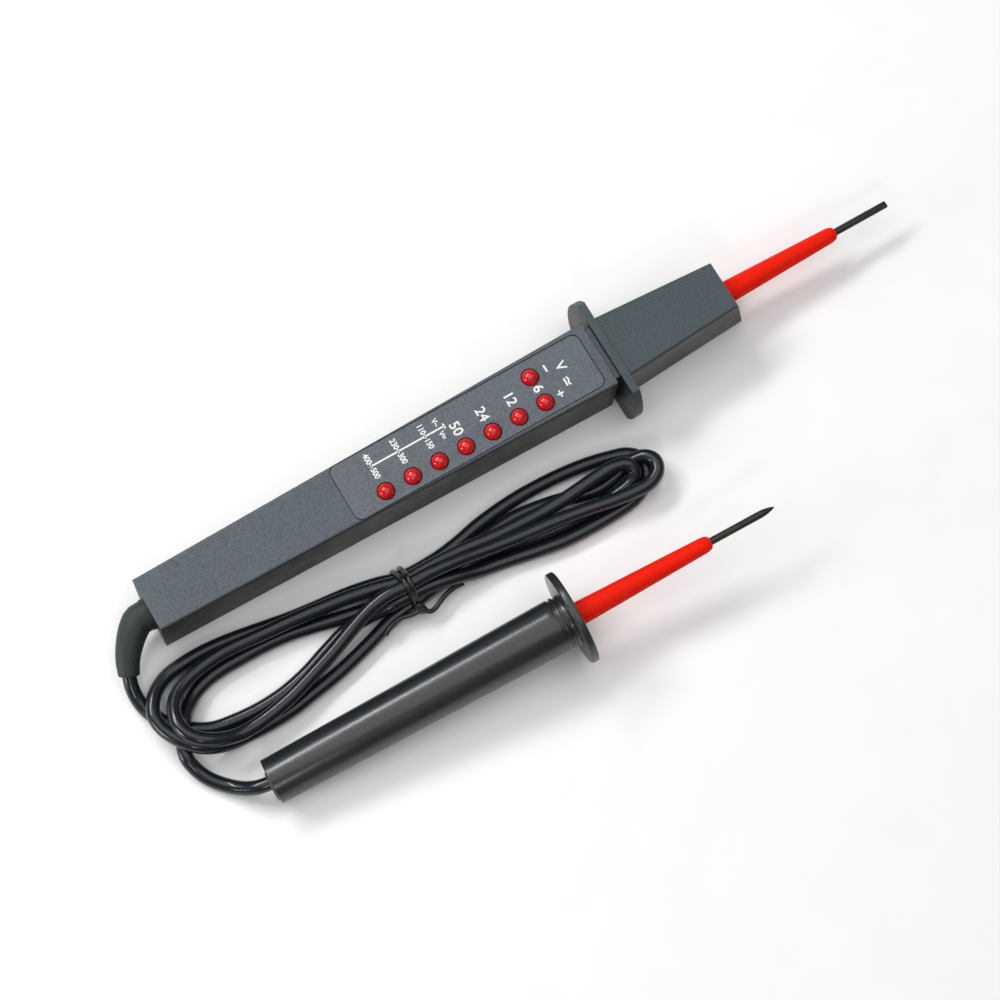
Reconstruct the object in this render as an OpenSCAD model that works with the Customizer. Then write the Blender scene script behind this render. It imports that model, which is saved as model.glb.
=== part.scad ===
// Two-pole circuit test light: a tapered tester body with eight lamps and a
// probe tip, a second probe, and the lead that joins them, tied in a hank.
// The origin is the middle of the body's base. +X runs along the body to its
// tip, +Z is up, and the second probe lies beside the body on the -Y side.

/* [Body] */
// Length of the tester body behind the guard
body_len = 148; // [130:1:170]
// Width of the body at its rear end
rear_w = 16.8; // [16:0.1:19]
// Width of the body beside the guard
front_w = 21.2; // [20:0.1:24]
// Height of the body with its base cover
body_h = 21; // [20:0.5:26]
// Thickness of the body's side walls
wall = 1.5; // [1.2:0.1:1.8]
// Thickness of the body's top wall
top_wall = 2; // [1.6:0.1:2.4]
// Thickness of the base cover
cover_t = 2; // [1.6:0.1:2.4]
// Radius of the body's soft edges
edge_r = 0.9; // [0.3:0.1:1.2]

/* [Nose and guard] */
// Width of the open groove between the body and the guard
groove_w = 1.8; // [1:0.1:3]
// Thickness of the guard plate
guard_t = 2.4; // [1.6:0.1:4]
// Radius of the round guard plate
guard_r = 19; // [15:0.5:22]
// How far the guard stands above the body's top face
guard_lip = 0.8; // [0.3:0.1:2]
// Length of the nose in front of the guard
nose_len = 38.6; // [30:0.2:50]
// How far the nose's foot reaches in front of its top
nose_lean = 5; // [0:0.5:8]
// How far the nose is set in from the body on each side
nose_step = 0.4; // [0.2:0.1:1]
// Width of the nose at its front end
nose_front_w = 15.6; // [12:0.1:19]

/* [Lamps] */
// Diameter of a lamp's dome
led_d = 5; // [3:0.1:5.2]
// Distance between two lamps of the row
led_pitch = 8.8; // [7:0.1:9.4]
// Place of the first lamp along the body
led_first_x = 0; // [-10:0.5:4]
// Distance of the lone polarity lamp from the middle line
led_lone_y = 3.8; // [3.4:0.1:4.4]
// How far a dome stands above the scale panel
led_proud = 1.9; // [1:0.1:2.5]

/* [Tips] */
// Diameter of both bare tip rods
tip_d = 2.2; // [1.6:0.1:2.6]
// Bare length of the tester's tip
tip_len = 18.7; // [12:0.1:25]
// Length of the tester's red sleeve outside the nose
sleeve_len = 40.8; // [25:0.2:55]
// Diameter of the red sleeves where they leave the plastic
sleeve_root_d = 7; // [6:0.1:7.4]
// Diameter of the red sleeves at their front end
sleeve_end_d = 4.8; // [4:0.1:5.6]

/* [Second probe] */
// Diameter of the handle at its rear end
handle_rear_d = 13.6; // [12.6:0.1:15]
// Diameter of the handle at its guard
handle_front_d = 15.8; // [15:0.1:18]
// Length of the handle behind its guard
handle_len = 93.6; // [80:0.2:110]
// Diameter of the handle's round guard
flange_d = 28.4; // [24:0.2:30]
// Thickness of the handle's round guard
flange_t = 2.4; // [1.6:0.1:4]
// Length of the second probe's red sleeve
probe_sleeve_len = 43.8; // [30:0.2:55]
// Bare length of the second probe's pin
probe_tip_len = 21; // [14:0.2:25]

/* [Lead] */
// Outer diameter of the lead
cord_d = 4.2; // [3.6:0.1:4.4]
// Height of the tied hank, where three layers of cord cross
hank_h = 12.4; // [12:0.1:14]

/* [Hidden] */

// fits and small gaps; over is how far a cutting shape runs past what it cuts,
// and bite is how far two joined shapes of one piece reach into each other
fit_gap = 0.15;
slide_gap = 0.05;
seam = 0.1;
bite = 0.5;
over = 1;

// small edge radii and chamfers
crisp_r = 0.1;
inner_r = 0.3;
soft = 0.4;

// body stations
rear_x = -body_len / 2;
front_x = body_len / 2;
axis_z = body_h / 2;
ceiling_z = body_h - top_wall;
taper = (front_w - rear_w) / body_len;
function width_at(x) = rear_w + taper * (x - rear_x);

// guard and nose stations
guard_x = front_x + groove_w;
nose_x = guard_x + guard_t;
nose_end_x = nose_x + nose_len;
nose_toe_x = nose_end_x + nose_lean;
nose_rear_w = front_w - 2 * nose_step;
nose_toe_w = nose_front_w - (nose_rear_w - nose_front_w) * nose_lean / nose_len;
guard_low = 0.5;
nose_low = 0.2;

// spigot that carries the nose; it fills the nose's pocket, whose walls are
// thinnest at its front end
spigot_len = 16;
spigot_wall = 1.6;
spigot_r = 0.6;
spigot_low_z = 2.4;
spigot_top_z = body_h - 1.4;
nose_wall = 0.5;
nose_pocket_x = front_x + spigot_len + fit_gap;
nose_pocket_w = nose_rear_w
  - (nose_rear_w - nose_front_w) * (nose_pocket_x - nose_x) / nose_len - 2 * nose_wall;
spigot_w = nose_pocket_w - 2 * fit_gap;

// base cover and its screws
screw_r = 1.3;
screw_len = 12;
screw_head_r = 2.5;
screw_head_h = 1.2;
head_sink = 0.2;
slot_w = 0.6;
slot_len = 3;
slot_deep = 0.7;
boss_r = 2.9;
rim_h = 1.2;
rim_t = 1;
rear_boss_x = rear_x + 28;
front_boss_x = front_x - 7;
screw_xs = [rear_boss_x, front_boss_x];

// circuit board
board_t = 1.6;
board_gap = 0.4;
board_x0 = rear_boss_x + 8;
board_x1 = front_boss_x - 5;
board_w = width_at(board_x0) - 2 * (wall + board_gap);
board_post = 2;
board_inset = 1.6;

// scale panel
panel_t = 0.6;
panel_gap = 0.3;
panel_x0 = rear_x + 62.8;
panel_x1 = front_x - 3;
panel_w = 17.6;
panel_corner = 2.2;

// lamps
led_r = led_d / 2;
led_hole_r = led_r + 0.2;
led_flange_r = led_r + 0.3;
led_flange_h = 1;
led_h = 8.6;
led_top_z = body_h + led_proud;
led_base_z = led_top_z - led_h;
led_lift = 1.6;
led_row_n = 7;
led_side_gap = 0.3;
led_row_y = width_at(led_first_x) / 2 - wall - led_side_gap - led_flange_r;
lead_w = 0.5;
lead_split = 1.27;
lead_hole_r = 0.55;
lead_below = 1;
led_spots = concat(
  [for (i = [0 : led_row_n - 1]) [led_first_x + i * led_pitch, -led_row_y]],
  [[led_first_x + (led_row_n - 1) * led_pitch, led_lone_y]]
);
board_top_z = led_base_z - led_lift;
board_z = board_top_z - board_t;

// small parts on the board: two rows of axial parts and two cans
axial_pitch = 11;
axial_leg_r = 0.3;
axial_leg_out = 1.2;
axial_lift = 0.2;
resistor_r = 1.1;
resistor_len = 6;
resistor_x = led_first_x - 10;
resistor_y = 2.6;
diode_r = 0.8;
diode_len = 4;
diode_x = led_first_x - 6;
diode_y = 5.4;
can_r = 2.3;
can_h = 4.4;
can_lift = 1.2;
can_flat = 1.3;
can_pitch = 7;
can_leg_w = 0.4;
can_leg_pitch = 1.2;
can_x = board_x0 + 10;
can_y = -3.4;

// tip rod, sleeve and holder
tip_r = tip_d / 2;
shank_step = 0.4;
shank_r = tip_r + shank_step;
sleeve_root_r = sleeve_root_d / 2;
sleeve_end_r = sleeve_end_d / 2;
sleeve_mouth_r = tip_r + 2 * soft;
sleeve_bevel = 2.4;
sleeve_in = 9;
sleeve_bore_r = shank_r + slide_gap;
tip_bore_r = sleeve_root_r + seam;
holder_r = tip_bore_r - slide_gap;
holder_bevel = 0.6;
holder_len = 12;
holder_grip = 9;
blade_len = 5.2;
blade_t = 0.8;
sleeve_x1 = nose_end_x + sleeve_len;
tip_end_x = sleeve_x1 + tip_len;
sleeve_x0 = nose_end_x - sleeve_in;
holder_x1 = sleeve_x0 - seam;
holder_x0 = holder_x1 - holder_len;
grip_x0 = holder_x1 - holder_grip;

// lead entry in the body's rear wall
entry_hole_r = 3.6;
collar_neck_r = entry_hole_r - fit_gap;
collar_flange_r = 4.8;
collar_out = 1.2;
collar_in = 1;
sheath_r = 1.6;
collar_bore_r = sheath_r + fit_gap;
sheath_end_x = rear_x + 16;

// cord clamp behind the rear wall
clamp_x = rear_x + 5;
clamp_len = 5;
clamp_side_gap = 1.2;
clamp_w = rear_w - 2 * (wall + clamp_side_gap);
clamp_h = 7;
clamp_edge = 1.8;
clamp_screw_y = clamp_w / 2 - clamp_edge;
clamp_screw_r = 0.9;
clamp_head_r = 1.7;
clamp_head_h = 1.1;
clamp_post_r = 1.9;
clamp_screw_len = 11;
clamp_mid_x = clamp_x + clamp_len / 2;
clamp_top_z = axis_z + clamp_h / 2;
clamp_low_z = axis_z - clamp_h / 2;

// second probe, laid down on its rear edge and its guard's rim
plug_proud = 1.8;
handle_rear_r = handle_rear_d / 2;
handle_front_r = handle_front_d / 2;
flange_r = flange_d / 2;
probe_pitch = atan((flange_r - handle_rear_r) / handle_len);
probe_yaw = -2;
probe_x = rear_x + 5.5;
probe_y = -58.3;
probe_z = handle_rear_r * cos(probe_pitch) - plug_proud * sin(probe_pitch);
handle_wall = 1.9;
handle_bore_r = handle_rear_r - handle_wall;
handle_x1 = plug_proud + handle_len;
flange_x1 = handle_x1 + flange_t;
handle_solid = 12;
groove_r = 0.35;
ring_grooves = [2.9, 1.3];
probe_sleeve_x1 = flange_x1 + probe_sleeve_len;
probe_sleeve_x0 = flange_x1 - sleeve_in;
probe_tip_x1 = probe_sleeve_x1 + probe_tip_len;
pin_point = 4.4;
pin_end_r = 0.2;
pin_in = 20;
pin_x0 = handle_x1 - pin_in;
plug_r = handle_bore_r - slide_gap;
plug_len = 6;
plug_boss_r = handle_bore_r;
plug_boss_shift = 1.2;
plug_boss_bevel = 0.8;
mouth_gap = 0.6;
plug_mouth_r = cord_d / 2 + mouth_gap;
plug_mouth_len = 2.2;
core_r = 0.9;
core_sheath_r = cord_d / 2 - slide_gap;
core_x0 = plug_mouth_len + 2 * seam;
core_sheath_len = 9;
core_x1 = pin_x0 - 4 * seam;
crimp_r = 2.3;
crimp_len = 14;
crimp_overlap = 5;
crimp_x1 = pin_x0 + crimp_overlap;
crimp_x0 = crimp_x1 - crimp_len;
crimp_step_x = pin_x0 - 2 * seam;

// lead: the boot's own line, then the cord's two free stretches; all of it,
// and the second probe on its end, keeps its place from the body's rear face
lead_shift = rear_x + 74;
boot_points = [
  [-75.2, 0, 10.5], [-76.4, 0, 10.5], [-77.6, 0, 10.5], [-80.3, -1.9, 10.1],
  [-83.2, -4.8, 9.1], [-85.6, -8, 7.8], [-87.3, -11.5, 6.4]
];
// its first stretch leaves square to the collar, at the collar's height
boot_rise = axis_z - boot_points[0][2];
boot_level = 2;
boot_last = len(boot_points) - 1;
boot_route = [for (i = [0 : boot_last])
  boot_points[i] + [0, 0, boot_rise * min(1, (boot_last - i) / (boot_last - boot_level))]];
boot_radii = [4.6, 4.5, 4.3, 4, 3.7, 3.4, 2.9];
lead_route_main = [
  [-87.3, -11.5, 6.4], [-88.3, -14.6, 4.8], [-88.6, -17.8, 3.2],
  [-88.2, -21, 2.2], [-87.2, -24, 2.1]
];
lead_route_probe = [
  [-84.8, -40.2, 4.4], [-84.2, -43.6, 3], [-82.8, -47, 2.1],
  [-80.6, -50.2, 2.1], [-77.8, -53.3, 2.7], [-74.8, -55.9, 4.3],
  [-71.7, -57.6, 6], [-68.5, -58.3, 6.6]
];

// hank: round lobes joined into one outline, [x, y, radius]
hank_lobes = [
  [-72.6, -29.4, 16.4], [-48, -30.8, 14.2], [-7, -29.3, 6.5],
  [38, -30.8, 11.6], [53, -31, 10.8], [67.4, -32.4, 9]
];
waist = hank_lobes[2];
tie_x = waist[0] + 0.5;
tie_t = 1.2;
tie_gap = 0.3;
tie_low = 0.1;
tie_slack = 0.45;
tie_in_w = 2 * (waist[2] + tie_slack);
tie_tail_front = [
  [-6.5, -36.8, 4.6], [-4.5, -38.6, 3.2], [-1, -39.8, 1.6], [3, -40.2, 0.8],
  [8, -40.4, 0.8]
];
tie_tail_rear = [
  [-6.5, -36.8, 4.6], [-8.6, -38.6, 3.4], [-12, -39.8, 1.8], [-16, -41.2, 0.8],
  [-20, -43, 0.8]
];

// wires inside the body
wire_r = 0.7;
wire_pad_x = board_x0 + 3;
wire_route = [
  [sheath_end_x, 0.8, axis_z], [sheath_end_x + 1, 0.8, axis_z], [sheath_end_x + 2, 0.8, axis_z],
  [sheath_end_x + 6, 3.4, axis_z + 0.5], [rear_boss_x - 1, 4.6, board_top_z + 0.2],
  [rear_boss_x + 5, 4.6, board_top_z + 1.2], [wire_pad_x, 3.4, board_top_z + wire_r]
];
tip_wire_route = [
  [board_x1 - 2, 3.8, board_top_z + wire_r], [front_boss_x - 2, 4.8, board_top_z + 0.9],
  [front_x - 0.5, 4.2, board_top_z - 0.4], [front_x + 8, 2, axis_z],
  [holder_x0 - 2, 0, axis_z], [holder_x0 - 1, 0, axis_z], [holder_x0, 0, axis_z]
];

// ---- shapes ----

edge_steps = 5;

function arc(cy, cz, r, from) =
  [for (i = [0 : edge_steps])
    [cy + r * cos(from + 90 * i / edge_steps), cz + r * sin(from + 90 * i / edge_steps)]];

// a rounded box section: width, bottom, top, radius above, radius below
function section(w, z0, z1, rt, rb) = concat(
  arc(w / 2 - rt, z1 - rt, rt, 0), arc(-w / 2 + rt, z1 - rt, rt, 90),
  arc(-w / 2 + rb, z0 + rb, rb, 180), arc(w / 2 - rb, z0 + rb, rb, 270)
);

function quad(i, j, n) = [i, i + n, j + n, j];

// a solid between two sections with as many points each
module loft(xa, sa, xb, sb) {
  n = len(sa);
  polyhedron(
    points = concat([for (p = sa) [xa, p[0], p[1]]], [for (p = sb) [xb, p[0], p[1]]]),
    faces = concat(
      [[for (i = [0 : n - 1]) i]],
      [[for (i = [n - 1 : -1 : 0]) n + i]],
      [for (i = [0 : n - 1]) quad(i, (i + 1) % n, n)]
    )
  );
}

// a length of the tapered body, inset from its outside on both sides
module body_block(xa, xb, inset, z0, z1, rt, rb) {
  loft(
    xa, section(width_at(xa) - 2 * inset, z0, z1, rt, rb),
    xb, section(width_at(xb) - 2 * inset, z0, z1, rt, rb)
  );
}

module along_x(x) {
  translate([x, 0, axis_z]) rotate([0, 90, 0]) children();
}

module at_lead() {
  translate([lead_shift, 0, 0]) children();
}

module at_probe() {
  translate([probe_x, probe_y, probe_z]) rotate([0, -probe_pitch, probe_yaw]) children();
}

// a turned piece on the X axis from a list of [x, radius]
module turned(profile) {
  rotate([0, 90, 0]) rotate_extrude($fn = 64)
    polygon([for (p = profile) [p[1], p[0]]]);
}

// sweep of a round cord along points, as one closed tube
function unit(v) = v / norm(v);
function along(p, i) = unit(p[min(i + 1, len(p) - 1)] - p[max(i - 1, 0)]);
function side_of(d) = unit(cross(d, [0, 0, 1]));
function smooth(p, i, t) =
  let (
    a = p[max(i - 1, 0)], b = p[i], c = p[i + 1], d = p[min(i + 2, len(p) - 1)]
  )
  0.5 * (2 * b + (c - a) * t + (2 * a - 5 * b + 4 * c - d) * t * t
    + (3 * b - a - 3 * c + d) * t * t * t);
function path(p, n) = concat(
  [for (i = [0 : len(p) - 2]) for (k = [0 : n - 1]) smooth(p, i, k / n)],
  [p[len(p) - 1]]
);
function radius_at(radii, f) =
  let (s = f * (len(radii) - 1), i = min(floor(s), len(radii) - 2))
  radii[i] + (radii[i + 1] - radii[i]) * (s - i);

module tube(route, radii, sides = 8, steps = 2) {
  p = path(route, steps);
  m = len(p);
  rings = [for (i = [0 : m - 1])
    let (d = along(p, i), u = side_of(d), v = cross(u, d), r = radius_at(radii, i / (m - 1)))
    for (k = [0 : sides - 1])
      p[i] + r * (cos(360 * k / sides) * u + sin(360 * k / sides) * v)];
  polyhedron(
    points = rings,
    faces = concat(
      [[for (k = [sides - 1 : -1 : 0]) k]],
      [[for (k = [0 : sides - 1]) (m - 1) * sides + k]],
      [for (i = [0 : m - 2]) for (k = [0 : sides - 1])
        [i * sides + k, i * sides + (k + 1) % sides,
         (i + 1) * sides + (k + 1) % sides, (i + 1) * sides + k]]
    )
  );
}

// ---- tester body ----

module board_posts(z0, z1) {
  for (x = [board_x0 + board_inset, board_x1 - board_inset])
    for (s = [-1, 1])
      translate([x - board_post / 2, s * (board_w / 2 - board_post / 2) - board_post / 2, z0])
        cube([board_post, board_post, z1 - z0]);
}

// a length of the spigot's section, grown on every side by a wall or a gap
module spigot_block(xa, xb, grow, r) {
  outline = section(spigot_w + 2 * grow, spigot_low_z - grow, spigot_top_z + grow, r, r);
  loft(xa, outline, xb, outline);
}

module clamp_posts() {
  for (s = [-1, 1])
    translate([clamp_mid_x, s * clamp_screw_y, clamp_top_z + seam])
      cylinder(r = clamp_post_r, h = ceiling_z + bite - clamp_top_z - seam, $fn = 32);
}

module body_shell() {
  color("#50565c") difference() {
    union() {
      difference() {
        body_block(rear_x, front_x, 0, cover_t, body_h, edge_r, crisp_r);
        body_block(rear_x + wall, front_x - wall, wall, cover_t - over, ceiling_z, inner_r, inner_r);
      }
      spigot_block(front_x - bite, front_x + spigot_len, 0, spigot_r);
      for (x = screw_xs)
        translate([x, 0, cover_t + seam]) cylinder(r = boss_r, h = ceiling_z - cover_t, $fn = 48);
      board_posts(board_top_z + seam, ceiling_z + bite);
      clamp_posts();
    }
    // hollow of the spigot, open through the front wall
    spigot_block(front_x - wall - bite, front_x + spigot_len + over, -spigot_wall, inner_r);
    // seat of the scale panel
    translate([0, 0, body_h - panel_t]) linear_extrude(panel_t + over)
      polygon(plate(panel_x0 - panel_gap, panel_x1 + panel_gap, panel_w + 2 * panel_gap, panel_corner));
    for (p = led_spots)
      translate([p[0], p[1], ceiling_z - over])
        cylinder(r = led_hole_r, h = top_wall + 2 * over, $fn = 48);
    for (x = screw_xs)
      translate([x, 0, cover_t - over]) cylinder(r = screw_r + slide_gap, h = screw_len, $fn = 32);
    for (s = [-1, 1])
      translate([clamp_mid_x, s * clamp_screw_y, axis_z])
        cylinder(r = clamp_screw_r + slide_gap, h = clamp_screw_len - clamp_h / 2, $fn = 32);
    along_x(rear_x - over) cylinder(r = entry_hole_r, h = wall + 2 * over, $fn = 48);
  }
}

// outline of a plate with round corners
function corner(cx, cy, r, from) =
  [for (i = [0 : edge_steps])
    [cx + r * cos(from + 90 * i / edge_steps), cy + r * sin(from + 90 * i / edge_steps)]];
function plate(x0, x1, w, r) = concat(
  corner(x1 - r, w / 2 - r, r, 0), corner(x0 + r, w / 2 - r, r, 90),
  corner(x0 + r, -w / 2 + r, r, 180), corner(x1 - r, -w / 2 + r, r, 270)
);

module base_cover() {
  color("#3f454a") difference() {
    union() {
      body_block(rear_x, front_x, 0, 0, cover_t - seam, crisp_r, edge_r);
      difference() {
        body_block(rear_x + wall + fit_gap, front_x - wall - fit_gap, wall + fit_gap,
          cover_t - bite, cover_t + rim_h, inner_r, inner_r);
        body_block(rear_x + wall + rim_t, front_x - wall - rim_t, wall + rim_t,
          cover_t - seam, cover_t + rim_h + over, crisp_r, crisp_r);
      }
      board_posts(cover_t - bite, board_z - seam);
    }
    for (x = screw_xs) translate([x, 0, -over]) {
      cylinder(r = screw_r + fit_gap, h = cover_t + 2 * over, $fn = 32);
      cylinder(r = screw_head_r + fit_gap, h = over + head_sink + screw_head_h, $fn = 32);
    }
  }
}

module cover_screws() {
  color("#8a8d90") for (x = screw_xs)
    translate([x, 0, head_sink]) difference() {
      union() {
        cylinder(r = screw_head_r, h = screw_head_h, $fn = 48);
        cylinder(r = screw_r, h = screw_len, $fn = 32);
      }
      for (a = [0, 90]) rotate([0, 0, a])
        translate([-slot_len / 2, -slot_w / 2, -over]) cube([slot_len, slot_w, over + slot_deep]);
    }
}

module nose_guard() {
  color("#465055") difference() {
    union() {
      intersection() {
        along_x(guard_x) cylinder(r = guard_r, h = guard_t, $fn = 96);
        translate([guard_x - over, -guard_r - over, guard_low])
          cube([guard_t + 2 * over, 2 * (guard_r + over), body_h + guard_lip - guard_low]);
      }
      loft(
        nose_x - bite, section(nose_rear_w, nose_low, body_h - seam, edge_r, edge_r),
        nose_toe_x, section(nose_toe_w, nose_low, body_h - seam, edge_r, edge_r)
      );
    }
    // the front face slopes outwards towards its foot
    translate([nose_end_x, -nose_rear_w, body_h])
      rotate([0, -atan(nose_lean / (body_h - nose_low)), 0])
        translate([0, 0, -2 * body_h])
          cube([nose_len, 2 * nose_rear_w, 3 * body_h]);
    spigot_block(guard_x - over, nose_pocket_x, fit_gap, spigot_r);
    along_x(guard_x) cylinder(r = tip_bore_r, h = nose_toe_x - guard_x + over, $fn = 64);
  }
}

module scale_panel() {
  color("#5a6167") difference() {
    translate([0, 0, body_h - panel_t]) linear_extrude(panel_t)
      polygon(plate(panel_x0, panel_x1, panel_w, panel_corner));
    for (p = led_spots)
      translate([p[0], p[1], body_h - panel_t - over])
        cylinder(r = led_hole_r, h = panel_t + 2 * over, $fn = 48);
  }
}

// ---- electronics ----

module circuit_board() {
  color("#2f6b3a") difference() {
    translate([board_x0, -board_w / 2, board_z]) cube([board_x1 - board_x0, board_w, board_t]);
    for (p = led_spots) for (s = [-1, 1])
      translate([p[0] + s * lead_split, p[1], board_z - over])
        cylinder(r = lead_hole_r, h = board_t + 2 * over, $fn = 16);
  }
}

dome_steps = 6;
led_profile = concat(
  [[0, 0], [0, led_flange_r], [led_flange_h, led_flange_r], [led_flange_h, led_r]],
  [for (i = [0 : dome_steps])
    [led_h - led_r + led_r * sin(90 * i / dome_steps), led_r * cos(90 * i / dome_steps)]]
);

module led(i) {
  color("#d8141e") translate([led_spots[i][0], led_spots[i][1], led_base_z])
    rotate([0, -90, 0]) turned(led_profile);
}

module led_1() { led(0); }
module led_2() { led(1); }
module led_3() { led(2); }
module led_4() { led(3); }
module led_5() { led(4); }
module led_6() { led(5); }
module led_7() { led(6); }
module led_8() { led(7); }

module led_leads() {
  color("#b8bcc0") for (p = led_spots) for (s = [-1, 1])
    translate([p[0] + s * lead_split - lead_w / 2, p[1] - lead_w / 2, board_z - lead_below])
      cube([lead_w, lead_w, led_base_z - board_z + lead_below]);
}

// an axial part lying along the board, with both its legs bent down to it
module axial(x, y, r, l) {
  z = r + axial_lift;
  span = l / 2 + axial_leg_out;
  translate([x, y, board_top_z]) {
    translate([-l / 2, 0, z]) rotate([0, 90, 0]) cylinder(r = r, h = l, $fn = 24);
    translate([-span - axial_leg_r, 0, z]) rotate([0, 90, 0])
      cylinder(r = axial_leg_r, h = 2 * (span + axial_leg_r), $fn = 16);
    for (s = [-1, 1])
      translate([s * span, 0, 0]) cylinder(r = axial_leg_r, h = z, $fn = 16);
  }
}

module resistors() {
  color("#b79a6a") for (i = [0 : 4])
    axial(resistor_x + i * axial_pitch, resistor_y, resistor_r, resistor_len);
}

module diodes() {
  color("#2a2a2c") for (i = [0 : 3])
    axial(diode_x + i * axial_pitch, diode_y, diode_r, diode_len);
}

// a can with one flat side on three legs
module transistor() {
  translate([0, 0, can_lift]) difference() {
    cylinder(r = can_r, h = can_h, $fn = 32);
    translate([-can_r - over, can_flat, -over]) cube([2 * (can_r + over), can_r, can_h + 2 * over]);
  }
  for (s = [-1, 0, 1])
    translate([s * can_leg_pitch - can_leg_w / 2, -can_leg_w / 2, 0])
      cube([can_leg_w, can_leg_w, can_lift + bite]);
}

module transistors() {
  color("#232325") for (i = [0, 1])
    translate([can_x + i * can_pitch, can_y, board_top_z]) transistor();
}

// ---- tester tip ----

module tip_rod() {
  color("#4a4844") difference() {
    translate([0, 0, axis_z]) turned([
      [grip_x0, 0], [grip_x0, shank_r],
      [sleeve_x1, shank_r], [sleeve_x1, tip_r],
      [tip_end_x - soft, tip_r], [tip_end_x, tip_r - soft], [tip_end_x, 0]
    ]);
    // two flats that narrow to the screwdriver edge
    for (s = [-1, 1])
      translate([tip_end_x - blade_len, 0, axis_z + s * tip_r])
        rotate([0, s * atan((tip_r - blade_t / 2) / blade_len), 0])
          translate([0, -tip_d, s > 0 ? 0 : -tip_d]) cube([blade_len + over, 2 * tip_d, tip_d]);
  }
}

// a sleeve from x0 to x1, its root straight as far as xr
module sleeve(x0, xr, x1) {
  color("#e8200c") turned([
    [x0, sleeve_bore_r], [x0, sleeve_root_r], [xr, sleeve_root_r],
    [x1 - sleeve_bevel, sleeve_end_r], [x1, sleeve_mouth_r], [x1, sleeve_bore_r]
  ]);
}

module tip_sleeve() {
  translate([0, 0, axis_z]) sleeve(sleeve_x0, nose_end_x, sleeve_x1);
}

module tip_holder() {
  color("#b59a4a") difference() {
    translate([0, 0, axis_z]) turned([
      [holder_x0, 0], [holder_x0, holder_r - holder_bevel],
      [holder_x0 + holder_bevel, holder_r], [holder_x1, holder_r], [holder_x1, 0]
    ]);
    along_x(grip_x0 - seam) cylinder(r = shank_r + slide_gap, h = holder_grip + over, $fn = 48);
  }
}

module tip_wire() {
  color("#a02018") tube(tip_wire_route, [wire_r, wire_r]);
}

// ---- lead entry ----

module boot_collar() {
  color("#26292c") translate([0, 0, axis_z]) turned([
    [rear_x - collar_out, collar_bore_r], [rear_x - collar_out, collar_flange_r],
    [rear_x, collar_flange_r], [rear_x, collar_neck_r],
    [rear_x + wall, collar_neck_r], [rear_x + wall, collar_flange_r],
    [rear_x + wall + collar_in, collar_flange_r], [rear_x + wall + collar_in, collar_bore_r]
  ]);
}

module lead_boot() {
  color("#2e3336") at_lead() tube(boot_route, boot_radii, 12, 2);
}

module cord_clamp() {
  color("#d9d9d2") difference() {
    translate([clamp_x, -clamp_w / 2, clamp_low_z]) cube([clamp_len, clamp_w, clamp_h]);
    along_x(clamp_x - over) cylinder(r = sheath_r + slide_gap, h = clamp_len + 2 * over, $fn = 48);
    for (s = [-1, 1])
      translate([clamp_mid_x, s * clamp_screw_y, clamp_low_z - over])
        cylinder(r = clamp_screw_r + fit_gap, h = clamp_h + 2 * over, $fn = 32);
  }
}

module clamp_screws() {
  color("#8a8d90") for (s = [-1, 1])
    translate([clamp_mid_x, s * clamp_screw_y, clamp_low_z - clamp_head_h]) {
      cylinder(r = clamp_head_r, h = clamp_head_h, $fn = 32);
      cylinder(r = clamp_screw_r, h = clamp_head_h + clamp_screw_len - seam, $fn = 32);
    }
}

module inner_lead() {
  color("#202326") along_x(rear_x - collar_out)
    cylinder(r = sheath_r, h = sheath_end_x - rear_x + collar_out, $fn = 48);
}

module lead_wires() {
  color("#2a3f8f") tube(wire_route, [wire_r, wire_r]);
}

// ---- lead ----

module cord_lead_main() {
  color("#1c2126") at_lead() tube(lead_route_main, [cord_d / 2, cord_d / 2], 10, 2);
}

module cord_lead_probe() {
  color("#1c2126") at_lead() tube(lead_route_probe, [cord_d / 2, cord_d / 2], 10, 2);
}

// a box centred on the tie, from its own height z0 to z1
module tie_box(x_w, y_w, z0, z1) {
  translate([tie_x - x_w / 2, waist[1] - y_w / 2, z0]) cube([x_w, y_w, z1 - z0]);
}

module cord_hank() {
  color("#1c2126") at_lead() difference() {
    linear_extrude(hank_h)
      for (i = [0 : len(hank_lobes) - 2])
        hull() for (q = [hank_lobes[i], hank_lobes[i + 1]])
          translate([q[0], q[1]]) circle(r = q[2], $fn = 64);
    // the tie passes under the waist
    tie_box(tie_t + 2 * tie_gap, 2 * tie_in_w, -over, tie_low + tie_t + tie_gap);
  }
}

module cord_tie() {
  tie_top = hank_h + tie_gap;
  color("#0e0e10") at_lead() union() {
    difference() {
      tie_box(tie_t, tie_in_w + 2 * tie_t, tie_low, tie_top + tie_t);
      tie_box(2 * tie_t, tie_in_w, tie_low + tie_t, tie_top);
    }
    for (tail = [tie_tail_front, tie_tail_rear])
      tube(tail, [tie_t / 2, tie_t / 2], 8, 2);
  }
}

// ---- second probe ----

function handle_r_at(x) =
  handle_rear_r + (handle_front_r - handle_rear_r) * (x - plug_proud) / handle_len;

module probe_handle() {
  ring_cuts = [for (g = ring_grooves) let (x = handle_x1 - g, r = handle_r_at(x)) each
    [[x - groove_r, r], [x, r - groove_r], [x + groove_r, r]]];
  color("#2b2e31") at_probe() turned(concat(
    [[plug_proud, handle_bore_r], [plug_proud, handle_rear_r - soft],
     [plug_proud + soft, handle_rear_r]],
    ring_cuts,
    [[handle_x1, handle_front_r], [handle_x1, flange_r - soft], [handle_x1 + soft, flange_r],
     [flange_x1 - soft, flange_r], [flange_x1, flange_r - soft], [flange_x1, tip_bore_r],
     [handle_x1 - handle_solid, tip_bore_r], [handle_x1 - handle_solid, handle_bore_r]]
  ));
}

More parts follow.
